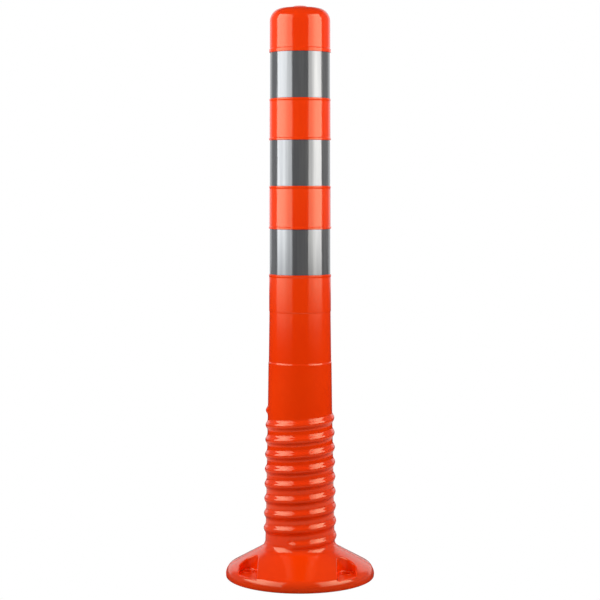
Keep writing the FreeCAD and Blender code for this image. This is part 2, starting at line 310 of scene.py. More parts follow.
wall_normal = unit(np.array([1, -NECK_SLOPE]))
cone_normal = unit(np.array([1, -CONE_SLOPE]))
ROOT_CENTRE = np.array([NECK_ROOT_RADIUS, ROOT_HEIGHT])
ROOT_CENTRE = ROOT_CENTRE + ROOT_ROUND * (wall_normal + cone_normal) / (1 + wall_normal @ cone_normal)


def neck_wall(z):
    """The wall's radius: two straight lines, cone and neck, and between them an arc that touches both."""
    cone = NECK_ROOT_RADIUS + CONE_SLOPE * (z - ROOT_HEIGHT)
    neck = NECK_ROOT_RADIUS + NECK_SLOPE * (z - ROOT_HEIGHT)
    tube = NECK_TOP_RADIUS + (TUBE_RADIUS - NECK_TOP_RADIUS) * (z - NECK_TOP) / (RECESS[1] - NECK_TOP)
    arc = ROOT_CENTRE[0] - np.sqrt(np.maximum(ROOT_ROUND**2 - (z - ROOT_CENTRE[1]) ** 2, 0))
    low = ROOT_CENTRE[1] - ROOT_ROUND * cone_normal[1]
    high = ROOT_CENTRE[1] - ROOT_ROUND * wall_normal[1]
    return np.where(z < low, cone, np.where(z < high, arc, np.where(z < NECK_TOP, neck, tube)))


def rib_height(across):
    """The rib's height at a distance from its centre line: a circle's slice, then a hollow circle's."""
    away = abs(across)
    half_width = (RIB_CREST + RIB_HOLLOW) * math.sin(RIB_STEEPEST)
    crest = RIB_HEIGHT - RIB_CREST + np.sqrt(np.maximum(RIB_CREST**2 - away**2, 0))
    to_foot = np.maximum(half_width - away, 0)
    hollow = RIB_HOLLOW - np.sqrt(np.maximum(RIB_HOLLOW**2 - to_foot**2, 0))
    return np.where(away < RIB_CREST * math.sin(RIB_STEEPEST), crest, hollow)


def neck_radius(angle, z):
    """The neck's radius: the wall's plus the rib's height.

    The rib's centre line climbs one pitch per turn. Along it, the rib rises out of the wall at its lower
    end and sinks back at its upper end.
    """
    turn = (angle - RIB_START_ANGLE) / (2 * math.pi)
    turn = turn + np.round((z - RIB_START_Z) / RIB_PITCH - turn)
    across = z - RIB_START_Z - RIB_PITCH * turn
    rising = np.clip(turn * MM_PER_TURN / RIB_RISES, 0, 1)
    sinking = np.clip((RIB_TURNS - turn) * MM_PER_TURN / RIB_SINKS, 0, 1)
    present = rising**2 * (3 - 2 * rising) * np.sqrt(1 - (1 - sinking) ** 2)
    return neck_wall(z) + present * rib_height(across)


def neck_surface(angle, z):
    radius = neck_radius(angle, z)
    return np.stack([radius * np.cos(angle), radius * np.sin(angle), z], axis=-1)


def bore_radius(z):
    """A straight taper from the underside to the closed end."""
    share = z / (CROWN - CROWN_WALL)
    return BORE_FOOT_RADIUS + (BORE_TOP_RADIUS - BORE_FOOT_RADIUS) * share


def end_face(angles, z, edge, up):
    """A flat ring across the wall, from the bore out to the edge of the outside, which closes a piece."""
    inner = bore_radius(z) * np.stack([np.cos(angles), np.sin(angles)], axis=1)
    points = np.concatenate([np.column_stack([inner, np.full_like(angles, z)]), edge])
    normals = np.tile([0.0, 0.0, 1.0 if up else -1.0], (len(points), 1))
    return facing(points, normals, grid_faces(2, len(angles)))


def bore(angles, low, high):
    """The wall of the bore between two heights, facing the axis."""
    return turned(rounded([(bore_radius(high), high, 0), (bore_radius(low), low, 0)]), angles)


# %% [markdown]
# ## Colours and finishes
#
# One function turns a hex colour, as a paint chart gives it, into the linear numbers that a shader needs.
# Another adds a node, sets its inputs and returns it, so each material reads as a short list.


# %% Helpers for materials
def linear(hex_colour):
    """sRGB hex to linear: below 0.04045 a straight line, above it a power of 2.4."""
    srgb = np.array([int(hex_colour[i : i + 2], 16) for i in (1, 3, 5)]) / 255
    value = np.where(srgb <= 0.04045, srgb / 12.92, ((srgb + 0.055) / 1.055) ** 2.4)
    return (*value.tolist(), 1.0)


def add(tree, kind, inputs=None, **settings):
    """Adds a node. inputs gives its sockets a value, or the output socket that feeds them."""
    node = tree.nodes.new(kind)
    for name, value in settings.items():
        setattr(node, name, value)
    for name, value in (inputs or {}).items():
        if isinstance(value, bpy.types.NodeSocket):
            tree.links.new(value, node.inputs[name])
        else:
            node.inputs[name].default_value = value
    return node


def new_material(name):
    material = bpy.data.materials.new(name)
    material.use_nodes = True
    material.node_tree.nodes.clear()
    return material, material.node_tree


# %% Moulded polyurethane
# How many patches of each noise fit in a metre: flow marks about every 110 mm, waves about every 24 mm, and
# a grain of about 1 mm, which is much coarser than a polished mould leaves, so that it shows.
FLOWS, WAVES, GRAINS = 9.0, 42.0, 900.0


def moulded_polyurethane():
    """Thermoplastic polyurethane, injection moulded in a polished steel mould, pigmented traffic orange.

    The pigment is dense, so the colour is even, with slow changes of shade where the melt flowed. The skin
    copies the mould: glossy, but drawn a little wavy as it shrank, which bends the softboxes' reflections.
    """
    material, tree = new_material("moulded_polyurethane")
    place = add(tree, "ShaderNodeTexCoord").outputs["Object"]
    flow_look = {"Vector": place, "Scale": FLOWS, "Detail": 3.0, "Roughness": 0.5}
    flow = add(tree, "ShaderNodeTexNoise", flow_look)
    shade = add(tree, "ShaderNodeValToRGB", {"Fac": flow.outputs["Fac"]})
    shade.color_ramp.elements[0].position = 0.3
    shade.color_ramp.elements[0].color = linear("#FB3700")
    shade.color_ramp.elements[1].position = 0.7
    shade.color_ramp.elements[1].color = linear("#FF3F00")
    wave_look = {"Vector": place, "Scale": WAVES, "Detail": 2.0, "Roughness": 0.45}
    waves = add(tree, "ShaderNodeTexNoise", wave_look).outputs["Fac"]
    grain_look = {"Vector": place, "Scale": GRAINS, "Detail": 2.0, "Roughness": 0.5}
    grain = add(tree, "ShaderNodeTexNoise", grain_look).outputs["Fac"]
    wavy = add(tree, "ShaderNodeBump", {"Height": waves, "Strength": 0.015, "Distance": 0.002})
    skin = add(
        tree,
        "ShaderNodeBump",
        {"Height": grain, "Strength": 0.02, "Distance": 0.0002, "Normal": wavy.outputs["Normal"]},
    )
    gloss = add(
        tree,
        "ShaderNodeMapRange",
        {
            "Value": flow.outputs["Fac"],
            "From Min": 0.3,
            "From Max": 0.7,
            "To Min": 0.11,
            "To Max": 0.16,
        },
    )
    shader = add(
        tree,
        "ShaderNodeBsdfPrincipled",
        {
            "Base Color": shade.outputs["Color"],
            "Roughness": gloss.outputs["Result"],
            "IOR": 1.62,
            "Specular Tint": (1.0, 0.96, 0.65, 1.0),
            "Normal": skin.outputs["Normal"],
        },
    )
    add(tree, "ShaderNodeOutputMaterial", {"Surface": shader.outputs["BSDF"]})
    return material


orange = moulded_polyurethane()


# %% Silver reflective tape
STREAKS, UNEVENNESS = 420.0, 130.0  # how many fit in a metre: about every 2.4 mm and every 8 mm
STRETCH = 0.03  # the pattern is drawn out along the post to about 33 times its width


def metallised_tape():
    """Silver reflective sheeting: a clear film over a metallised layer, rolled on by hand round the tube.

    Head on it is a grey mirror. Rolling leaves fine streaks along the post and a faint unevenness.
    """
    material, tree = new_material("metallised_tape")
    place = add(tree, "ShaderNodeTexCoord").outputs["Object"]
    drawn_out = {"Vector": place, "Scale": (1.0, 1.0, STRETCH)}
    along = add(tree, "ShaderNodeMapping", drawn_out).outputs["Vector"]
    streak_look = {"Vector": along, "Scale": STREAKS, "Detail": 3.0, "Roughness": 0.6}
    streaks = add(tree, "ShaderNodeTexNoise", streak_look).outputs["Fac"]
    broad_look = {"Vector": along, "Scale": UNEVENNESS, "Detail": 3.0, "Roughness": 0.6}
    broad = add(tree, "ShaderNodeTexNoise", broad_look).outputs["Fac"]
    shade = add(tree, "ShaderNodeValToRGB", {"Fac": broad})
    shade.color_ramp.elements[0].position = 0.3
    shade.color_ramp.elements[0].color = linear("#7D7D80")
    shade.color_ramp.elements[1].position = 0.7
    shade.color_ramp.elements[1].color = linear("#929294")
    rolled = add(tree, "ShaderNodeBump", {"Height": streaks, "Strength": 0.12, "Distance": 0.0004})
    uneven = add(
        tree,
        "ShaderNodeBump",
        {"Height": broad, "Strength": 0.12, "Distance": 0.0012, "Normal": rolled.outputs["Normal"]},
    )
    shader = add(
        tree,
        "ShaderNodeBsdfPrincipled",
        {
            "Base Color": shade.outputs["Color"],
            "Metallic": 0.64,
            "Roughness": 0.12,
            "Normal": uneven.outputs["Normal"],
        },
    )
    add(tree, "ShaderNodeOutputMaterial", {"Surface": shader.outputs["BSDF"]})
    return material


silver = metallised_tape()

# %% [markdown]
# ## The nine pieces of the neck
#
# The real wall bends smoothly. The model bends at nine hinges, so each piece here reaches across one hinge.
# Hinges that fold sideways take wide pieces, and the ones that sway front to back take narrow pieces between
# them, because the neck folds further than it sways.

# %% Neck pieces
edges = [HINGES[0] - CUT]
for n, hinge in enumerate(HINGES):
    reach = CUT if n % 2 == 0 else RIB_PITCH - CUT
    edges.append(hinge + reach)
around = columns(NECK_ROOT_RADIUS)
for n, joint in enumerate(frame["joints"]):
    low, high = edges[n], edges[n + 1]
    rows = np.linspace(low, high, int((high - low) / WALL_STEP) + 1)
    outside = with_parting_line(sheet(neck_surface, around, rows))
    patches = [
        outside,
        bore(around, low, high),
        end_face(around, low, outside[0][: len(around)], up=False),
        end_face(around, high, outside[0][-len(around) :], up=True),
    ]
    piece = build(f"neck_bend_{n + 1}", patches, orange)
    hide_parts(f"neck_turn_{min(n + 1, 8)}")
    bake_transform(piece)
NECK_LOW, NECK_HIGH = edges[0], edges[-1]
print("the neck's pieces reach from", NECK_LOW, "to", NECK_HIGH, "mm")

# %% [markdown]
# ## The tube and its crown
#
# Above the neck the moulding is a hollow tube, closed by a low crown. It is turned from one profile that
# starts at the inside of the crown, goes down the bore, across the wall, up the outside and over the top.
# The outside has a shallow recess for a label, and a groove for each tape with a small lip at each side,
# which keeps the tape's edge from being scraped off. The lip above a tape is the prouder one. The disc on
# the crown is where the plastic was injected.

# %% Tube
GROOVE_DEPTH, GROOVE_PLAY = 0.9, 0.4
LIP_HEIGHT, LIP_RAMP = 0.45, 1.0
LIP_PROUD = 0.75  # the lips above the tapes stand out more than those below
LIP_BELOW, LIP_ABOVE, CAP_LIP = 3.4, 3.2, 5.2  # how far the lips reach from the tapes' edges
RECESS_DEPTH, RECESS_RAMP = 0.45, 1.6


def tube_wall(z):
    """The tube's radius without its grooves: a slight taper, steeper below the top of the label recess."""
    lower = NECK_TOP_RADIUS + (TUBE_RADIUS - NECK_TOP_RADIUS) * (z - NECK_TOP) / (RECESS[1] - NECK_TOP)
    upper = TUBE_RADIUS + (TUBE_TOP_RADIUS - TUBE_RADIUS) * (z - RECESS[1]) / (SHOULDER - RECESS[1])
    return lower if z < RECESS[1] else upper


def groove(low, high, lip_above):
    """The corners of one tape's groove, from the foot of its lower lip to the top of its upper lip."""
    low, high = low - GROOVE_PLAY, high + GROOVE_PLAY
    return [
        (tube_wall(low - LIP_BELOW), low - LIP_BELOW, 0.8),
        (tube_wall(low) + LIP_HEIGHT, low - 0.5 * LIP_BELOW, 2.0),
        (tube_wall(low) + LIP_HEIGHT, low, 0.35),
        (tube_wall(low) - GROOVE_DEPTH, low + 0.05, 0.0),
        (tube_wall(high) - GROOVE_DEPTH, high - 0.05, 0.0),
        (tube_wall(high) + LIP_PROUD, high, 0.35),
        (tube_wall(high + lip_above) + LIP_PROUD, high + lip_above - LIP_RAMP, 0.3),
        (tube_wall(high + lip_above), high + lip_above, 0.5),
    ]


bore_end = CROWN - CROWN_WALL
inside_corners = [
    (0.0, bore_end, 0),
    (BORE_TOP_RADIUS, bore_end - 2.5, 4.0),
    (bore_radius(NECK_HIGH), NECK_HIGH, 0),
]
outside_corners = [
    (float(neck_radius(np.array(0.0), np.array(NECK_HIGH))), NECK_HIGH, 0),
    (tube_wall(RECESS[0] - RECESS_RAMP), RECESS[0] - RECESS_RAMP, 3.0),
    (tube_wall(RECESS[0]) - RECESS_DEPTH, RECESS[0], 2.0),
    (tube_wall(RECESS[1] - RECESS_RAMP) - RECESS_DEPTH, RECESS[1] - RECESS_RAMP, 2.0),
    (tube_wall(RECESS[1]), RECESS[1], 1.0),
    *groove(*TAPES[0], LIP_ABOVE),
    *groove(*TAPES[1], LIP_ABOVE),
    *groove(*TAPES[2], CAP_LIP),
    (TUBE_TOP_RADIUS, SHOULDER, SHOULDER_ROUND),
    (GATE_RADIUS + 0.6, CROWN - 2.5 * GATE_RADIUS / TUBE_TOP_RADIUS, 1.0),
    (GATE_RADIUS, GATE_TOP - 0.2, 0.6),
    (0.0, GATE_TOP, 0),
]
around = columns(TUBE_RADIUS)
outside = with_parting_line(turned(rounded(outside_corners), around))
patches = [
    turned(rounded(inside_corners), around),
    end_face(around, NECK_HIGH, outside[0][: len(around)], up=False),
    outside,
]
tube = build("tube", patches, orange)
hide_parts("upper_tube")
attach(tube, "tube")

# %% [markdown]
# ## The tapes
#
# Each tape is a strip that goes once round the tube and ends on top of its own start, at the back. Its
# radius is the groove's floor plus the tape's thickness, and over the lap one thickness more, which falls
# away as the upper end settles onto the floor.

# %% Tapes
TAPE_THICKNESS, TAPE_EDGE, GLUE_LINE = 0.4, 0.12, 0.05
LAP_AT, LAP_LENGTH, LAP_STEP = math.radians(90), 14.0, 0.3


def tape_band(low, high):
    """A closed band: inside, lower edge, outside, upper edge. At the lap the outside steps out and eases back."""
    foot = [tube_wall(z) - GROOVE_DEPTH + GLUE_LINE for z in (low, high)]
    outside = [foot[0] + TAPE_THICKNESS, foot[1] + TAPE_THICKNESS]
    profile = rounded(
        [
            (foot[1], high, 0),
            (foot[0], low, 0),
            (outside[0], low, TAPE_EDGE),
            (outside[1], high, TAPE_EDGE),
            (foot[1], high, 0),
        ]
    )
    even = np.linspace(0, 2 * math.pi, 240, endpoint=False)
    step = LAP_AT + np.array([-2e-3, -1e-3, 0, 1e-3])
    around = np.sort(np.concatenate([even[abs(even - LAP_AT) > 5e-3], step]))
    points, normals, faces = turned(profile, around)
    radius = np.hypot(points[:, 0], points[:, 1])
    angle = np.arctan2(points[:, 1], points[:, 0]) - LAP_AT
    away = np.clip(angle * radius / LAP_LENGTH, 0, 1)
    lap = np.where(angle > -5e-4, (1 - away) ** 2 * (1 + 2 * away), 0) * (radius > foot[0] + 0.2)
    out = points.copy()
    out[:, 2] = 0
    return points + unit(out) * (LAP_STEP * lap)[:, None], normals, faces


for name, (low, high) in zip(("lower", "middle", "upper"), TAPES):
    piece = build(f"reflective_band_{name}", [tape_band(low, high)], silver)
    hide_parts(f"tape_{name}")
    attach(piece, "tube")

# %% [markdown]
# ## The flange
#
# The flange is a low cone with a well-rounded rim and three pockets, one round each bolt. A pocket is a U
# that opens outwards. Its sides are in line with the way the mould opens, so that each mould half can
# pull out. Its edge is crisp on the side near the middle of the post and well rounded on the far side. A
# turned grid can't follow the sides of a U, so the top is a height over a plan instead. The plan's points
# lie on rings round the axis and on rows that follow each U, close together where the surface turns. A
# Delaunay triangulation joins them without crossing a row, and one formula then gives every point its
# height.

# %% The flange's formulas
POCKET_FLOOR, POCKET_ROUND = 13.0, 12.4
BRIM, BRIM_CHANGE = 2.1, 1.1  # the rounded edge in plan: narrower than this near the middle, wider outside
DRAFT, POCKET_FOOT = 0.7, 1.6  # the wall's lean and the fillet at its foot, in plan
BOSS_RADIUS, BOSS_HEIGHT, HOLE_LIP = 8.5, 1.0, 0.8
JOIN_RADIUS = 54.0  # where the flange's top meets the grid of the neck's root
bolts = [BOLT_CIRCLE * np.array([math.cos(turn), math.sin(turn)]) for turn in np.radians([90, 210, 330])]
ways = [-DRAW, DRAW, DRAW]  # each pocket opens in line with the mould's own opening
asides = [np.array([abs(DRAW[1]), DRAW[0]]) * (1 if bolt[0] > -1 else -1) for bolt in bolts]
pockets = list(zip(bolts, ways, asides))
RIM_FROM = 93.85  # the radius where the cone ends and the rim's quarter of an ellipse begins
rim_rise = ROOT_HEIGHT + (RIM_FROM - NECK_ROOT_RADIUS) / CONE_SLOPE - RIM_LEVEL
rim_depth = FLANGE_RADIUS - RIM_FROM
turn_cos = 1 / (-CONE_SLOPE * rim_rise / rim_depth - 1)  # where the ellipse's slope is the cone's
RIM_ANGLE = math.acos(turn_cos)
RIM_WIDE, RIM_TALL = rim_depth / (1 - turn_cos), rim_rise / math.sin(RIM_ANGLE)


def cone_height(radius):
    """The top without pockets: a straight cone, then the rim's ellipse, which ends upright."""
    straight = ROOT_HEIGHT + (radius - NECK_ROOT_RADIUS) / CONE_SLOPE
    share = (radius - FLANGE_RADIUS + RIM_WIDE) / RIM_WIDE
    ellipse = RIM_LEVEL + RIM_TALL * np.sqrt(np.maximum(1 - share**2, 0))
    return np.where(radius < RIM_FROM, straight, ellipse)


def brim_width(bolt, aside, along):
    """How wide the rounded edge is, at a place along the pocket's own sideways axis."""
    return BRIM + BRIM_CHANGE * min(1.0, bolt @ aside / 50) * np.clip(along / 9, -1, 1)


def pocket_distance(x, y):
    """How far a point in plan lies outside the nearest pocket's wall, and how wide the edge is there.

    The distance is negative inside. A pocket is everything within its round of a line that runs outwards
    from the bolt.
    """
    nearest, brims = [], []
    for bolt, way, aside in pockets:
        out = (x - bolt[0]) * way[0] + (y - bolt[1]) * way[1]
        along = (x - bolt[0]) * aside[0] + (y - bolt[1]) * aside[1]
        nearest.append(np.hypot(along, np.minimum(out, 0)) - POCKET_ROUND)
        brims.append(brim_width(bolt, aside, along))
    pick = np.argmin(nearest, axis=0)
    return np.min(nearest, axis=0), np.choose(pick, brims)


def wall_share(d, brim_wide):
    """The section through a pocket's edge, from 0 on the floor to 1 on the cone.

    A quarter circle turns the cone down into the wall, the wall leans by its draft, and another quarter
    circle turns it out onto the floor.
    """
    brim = np.clip(1 - d / brim_wide, 0, 1)
    foot = np.clip(1 + (d + DRAFT) / POCKET_FOOT, 0, 1)
    brim_drop, foot_rise = 0.05 + 0.03 * brim_wide, 0.08
    over = 1 - brim_drop * (1 - np.sqrt(1 - brim**2))
    under = foot_rise * (1 - np.sqrt(1 - foot**2))
    lean = foot_rise + (1 - brim_drop - foot_rise) * (d + DRAFT) / DRAFT
    return np.where(d > 0, over, np.where(d > -DRAFT, lean, under))


def flange_height(x, y):
    """The top's height at a point in plan."""
    cone = cone_height(np.minimum(np.hypot(x, y), FLANGE_RADIUS))
    floor = smaller(np.full_like(cone, POCKET_FLOOR), cone, 1.2)
    from_bolt = np.min([np.hypot(x - bolt[0], y - bolt[1]) for bolt in bolts], axis=0)
    ring = np.clip((BOSS_RADIUS + 0.4 - from_bolt) / 0.8, 0, 1)
    lip = np.clip(1 - (from_bolt - HOLE_RADIUS) / HOLE_LIP, 0, 1)
    boss = BOSS_HEIGHT * ring**2 * (3 - 2 * ring) - HOLE_LIP * (1 - np.sqrt(1 - lip**2))
    return floor + (cone - floor) * wall_share(*pocket_distance(x, y)) + boss


# %% The flange's plan
quarter = 1 - np.cos(np.radians([0, 14, 28, 44, 62, 90]))
brim_rows = np.concatenate([[2.2, 1.6], quarter[::-1]])  # shares of the rounded edge's width, two beyond it
wall_rows = np.concatenate([[-DRAFT / 2], -DRAFT - quarter * POCKET_FOOT])  # millimetres inside the wall
boss_rows = (0, 0.1, 0.3, HOLE_LIP, 1.5, 2.1, 2.5, 2.9)  # millimetres out from the bolt hole
rim_angles = np.linspace(RIM_ANGLE, 0, 15)
ring_radii = np.concatenate(
    [np.linspace(JOIN_RADIUS, RIM_FROM, 27)[:-1], FLANGE_RADIUS - RIM_WIDE * (1 - np.cos(rim_angles))]
)


def circle(x, y, radius, count):
    turn = np.linspace(0, 2 * math.pi, count, endpoint=False)
    return np.stack([x + radius * np.cos(turn), y + radius * np.sin(turn)], axis=1)


def pocket_row(bolt, way, aside, share, inside=0.0):
    """One row round a pocket: in along one side, round the end, out along the other.

    Its distance from the wall is a share of the edge's width, less a fixed part for rows inside the wall.
    Along a side, its points lie where the side crosses the rings.
    """
    turn = np.linspace(math.pi, 0, 38)
    along = np.cos(turn)
    size = POCKET_ROUND + inside + share * brim_width(bolt, aside, POCKET_ROUND * along)
    bow = bolt + (size * along)[:, None] * aside - (size * np.sin(turn))[:, None] * way
    ends = []
    for foot in (bow[0], bow[-1]):
        rims = ring_radii[ring_radii > np.hypot(*foot) + 0.6]
        out = np.sqrt((foot @ way) ** 2 - foot @ foot + rims**2) - foot @ way
        ends.append(foot + out[:, None] * way)
    return np.concatenate([ends[0][::-1], bow, ends[1]])


def turns_through(radius, rows):
    """The angles of a ring: those at which rows end on it, and evenly spaced ones between."""
    tips = np.concatenate([row[[0, -1]] for row in rows])
    tips = tips[abs(np.hypot(*tips.T) - radius) < 1e-6]
    ends = np.unique(np.arctan2(tips[:, 1], tips[:, 0]).round(9))
    even = np.linspace(-math.pi, math.pi, 240, endpoint=False) + 0.005
    gap = abs((even[:, None] - ends + math.pi) % (2 * math.pi) - math.pi).min(axis=1)
    return np.sort(np.concatenate([ends, even[gap > 0.3 / radius]]))


def plan_of_top():
    """Points and rows of the flange's top, in plan, with the angles of its outer and inner ring."""
    closed, opened = [], []
    for pocket in pockets:
        opened += [pocket_row(*pocket, share) for share in brim_rows]
        opened += [pocket_row(*pocket, 0.0, inside) for inside in wall_rows]
        closed += [circle(*pocket[0], HOLE_RADIUS + gap, 40) for gap in boss_rows]
    across = np.array([-DRAW[1], DRAW[0]])
    for away in BESIDE_RIDGE:
        out = np.sqrt(ring_radii**2 - away**2)[:, None] * across
        opened += [away * DRAW + out, away * DRAW - out]
    rings = [turns_through(radius, opened) for radius in (FLANGE_RADIUS, JOIN_RADIUS)]
    for radius, turns in zip((FLANGE_RADIUS, JOIN_RADIUS), rings):
        closed.insert(0, radius * np.stack([np.cos(turns), np.sin(turns)], axis=1))
    loose = np.concatenate([circle(0, 0, radius, 240) for radius in ring_radii[1:-1]])
    x, y = loose.T
    d, brim = pocket_distance(x, y)
    keep = ((d > 2.2 * brim + 0.7) | (d < -4.0)) & (abs(loose @ DRAW) > 2.2)
    for bolt in bolts:
        keep &= np.hypot(x - bolt[0], y - bolt[1]) > HOLE_RADIUS + 4
    return rings, (closed, opened, loose[keep])


def triangulate(closed, opened, loose=()):
    """A Delaunay triangulation in plan whose edges keep to the rows: points (n, 2), triangles (m, 3)."""
    points, rows, at = [], [], 0
    for row, shut in [(row, True) for row in closed] + [(row, False) for row in opened]:
        number = at + np.arange(len(row))
        after = np.roll(number, -1)
        rows.append(np.stack([number, after], axis=1)[: None if shut else -1])
        points.append(row)
        at += len(row)
    points = np.concatenate([*points, loose]) if len(loose) else np.concatenate(points)
    found = delaunay_2d_cdt(points.tolist(), np.concatenate(rows).tolist(), [], 0, 1e-5, True)
    exact = np.array([tuple(point) for point in found[0]])
    given = np.array([min(source, default=-1) for source in found[3]])
    exact[given >= 0] = points[given[given >= 0]]
    return exact, np.array(found[2])


def around_openings(points, triangles, opening):
    """The triangles outside the round opening in the middle and the bolt holes.

    Those inside an opening are the ones with all three corners on its edge.
    """
    keep = np.ones(len(triangles), bool)
    for centre, radius in [(np.zeros(2), opening)] + [(bolt, HOLE_RADIUS) for bolt in bolts]:
        on_edge = abs(np.hypot(*(points - centre).T) - radius) < 1e-6
        keep &= ~on_edge[triangles].all(axis=1)
    return triangles[keep]


(rim, root), rows_and_points = plan_of_top()
plan, plan_triangles = triangulate(*rows_and_points)
plan_triangles = around_openings(plan, plan_triangles, JOIN_RADIUS)
print("the flange's plan:", len(plan), "points,", len(plan_triangles), "triangles")


# %% The flange's patches
def flange_top():
    """The plan raised to its height. The slopes of the height in x and y give the normal."""
    x, y = plan.T
    h = 1e-4
    slope_x = (flange_height(x + h, y) - flange_height(x - h, y)) / (2 * h)
    slope_y = (flange_height(x, y + h) - flange_height(x, y - h)) / (2 * h)
    steep = np.hypot(slope_x, slope_y)
    tame = np.minimum(1, 40 / np.maximum(steep, 1e-9))
    normals = unit(np.stack([-slope_x * tame, -slope_y * tame, np.ones_like(x)], axis=1))
    edge = abs(np.hypot(x, y) - FLANGE_RADIUS) < 1e-6
    normals[edge] = np.stack([x, y, 0 * x], axis=1)[edge] / FLANGE_RADIUS
    used, faces = np.unique(plan_triangles, return_inverse=True)
    points = np.stack([x, y, flange_height(x, y)], axis=1)
    return facing(points[used], normals[used], faces.reshape(-1, 3))


FOOT_RADIUS = FLANGE_RADIUS - FOOT_ROUND - 0.4  # the edge of the underside, just inside the rounded foot


def flat_underside(rim, root):
    """The flat ring that stands on the road, with the bolt holes through it."""
    rings = [
        np.stack([size * np.cos(turn), size * np.sin(turn)], axis=1)
        for size, turn in ((FOOT_RADIUS, rim), (BORE_FOOT_RADIUS, root))
    ]
    rings += [circle(*bolt, HOLE_RADIUS, 40) for bolt in bolts]
    points, triangles = triangulate(rings, [])
    triangles = around_openings(points, triangles, BORE_FOOT_RADIUS)
    used, faces = np.unique(triangles, return_inverse=True)
    points = np.concatenate([points, np.zeros((len(points), 1))], axis=1)[used]
    return facing(points, np.tile([0.0, 0.0, -1.0], (len(points), 1)), faces.reshape(-1, 3))


def hole_wall(cx, cy):
    """The wall of one bolt hole, which faces its own axis."""
    top = POCKET_FLOOR + BOSS_HEIGHT - HOLE_LIP
    ring = circle(cx, cy, HOLE_RADIUS, 40)
    points = np.concatenate([np.column_stack([ring, np.full(40, z)]) for z in (0, top)])
    normals = unit(np.array([cx, cy, 0]) - points * [1, 1, 0])
    return facing(points, normals, grid_faces(2, 40))


join_height = ROOT_HEIGHT + (JOIN_RADIUS - NECK_ROOT_RADIUS) / CONE_SLOPE
side = rounded([(FOOT_RADIUS, 0, 0), (FLANGE_RADIUS, 0, FOOT_ROUND), (FLANGE_RADIUS, RIM_LEVEL, 0)])
neck_root = with_parting_line(sheet(neck_surface, root, np.linspace(join_height, NECK_LOW, 24)))
patches = [
    with_parting_line(flange_top()),
    with_parting_line(turned(side, rim)),
    flat_underside(rim, root),
    *[hole_wall(*bolt) for bolt in bolts],
    neck_root,
    end_face(root, NECK_LOW, neck_root[0][-len(root) :], up=True),
    bore(root, 0, NECK_LOW),
]
flange = build("flange", patches, orange)
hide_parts("base_flange")
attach(flange, "base")

# %% [markdown]
# ## The studio
#
# The post stands on a pale floor in front of a white backdrop. Two tall softboxes stand at its sides, a
# little in front. Their reflections draw the two bright bars that run down the tube, and the dark gap
# between them is the dim room behind the camera. The backdrop lights both edges of the tube. The floor
# and the backdrop look plain white to the camera itself, as a cleared background does, but send out only
# the light that the post should get from them.

# %% World and floor
world = bpy.data.worlds.new("studio")
bpy.context.scene.world = world
world.use_nodes = True
tree = world.node_tree
tree.nodes.clear()
CAMERA_AZIMUTH = math.radians(-90 + 5.3)
toward_camera = (math.cos(CAMERA_AZIMUTH), math.sin(CAMERA_AZIMUTH), 0.0)
ROOM_FRONT, ROOM_SIDE, BACKDROP = 0.10, 0.16, 0.6  # brightness; the backdrop starts 137 degrees round
direction = add(tree, "ShaderNodeTexCoord").outputs["Generated"]
facing_camera = add(tree, "ShaderNodeVectorMath", {0: direction, 1: toward_camera}, operation="DOT_PRODUCT")
sides = add(
    tree,
    "ShaderNodeMapRange",
    {
        "Value": facing_camera.outputs["Value"],
        "From Min": math.cos(math.radians(85)),
        "From Max": math.cos(math.radians(105)),
        "To Min": 0.0,
        "To Max": ROOM_SIDE,
    },
)
behind = add(
    tree,
    "ShaderNodeMapRange",
    {
        "Value": facing_camera.outputs["Value"],
        "From Min": math.cos(math.radians(133)),
        "From Max": math.cos(math.radians(141)),
    },
)
height = add(tree, "ShaderNodeSeparateXYZ", {0: direction}).outputs["Z"]
low_down = {"Value": height, "From Min": 0.62, "From Max": 0.48}  # the backdrop ends this far up
low = add(tree, "ShaderNodeMapRange", low_down).outputs["Result"]
round_about = add(
    tree,
    "ShaderNodeMath",
    {0: behind.outputs["Result"], 1: BACKDROP, 2: sides.outputs["Result"]},
    operation="MULTIPLY_ADD",
).outputs[0]
lit = add(tree, "ShaderNodeMath", {0: round_about, 1: low, 2: ROOM_FRONT}, operation="MULTIPLY_ADD")
direct = add(tree, "ShaderNodeLightPath").outputs["Is Camera Ray"]
white = add(tree, "ShaderNodeBackground", {"Color": (1, 1, 1, 1), "Strength": 1.0})
room = add(tree, "ShaderNodeBackground", {"Color": (0.95, 0.98, 1.0, 1), "Strength": lit.outputs[0]})
mix = add(tree, "ShaderNodeMixShader", {0: direct, 1: room.outputs[0], 2: white.outputs[0]})
add(tree, "ShaderNodeOutputWorld", {"Surface": mix.outputs[0]})


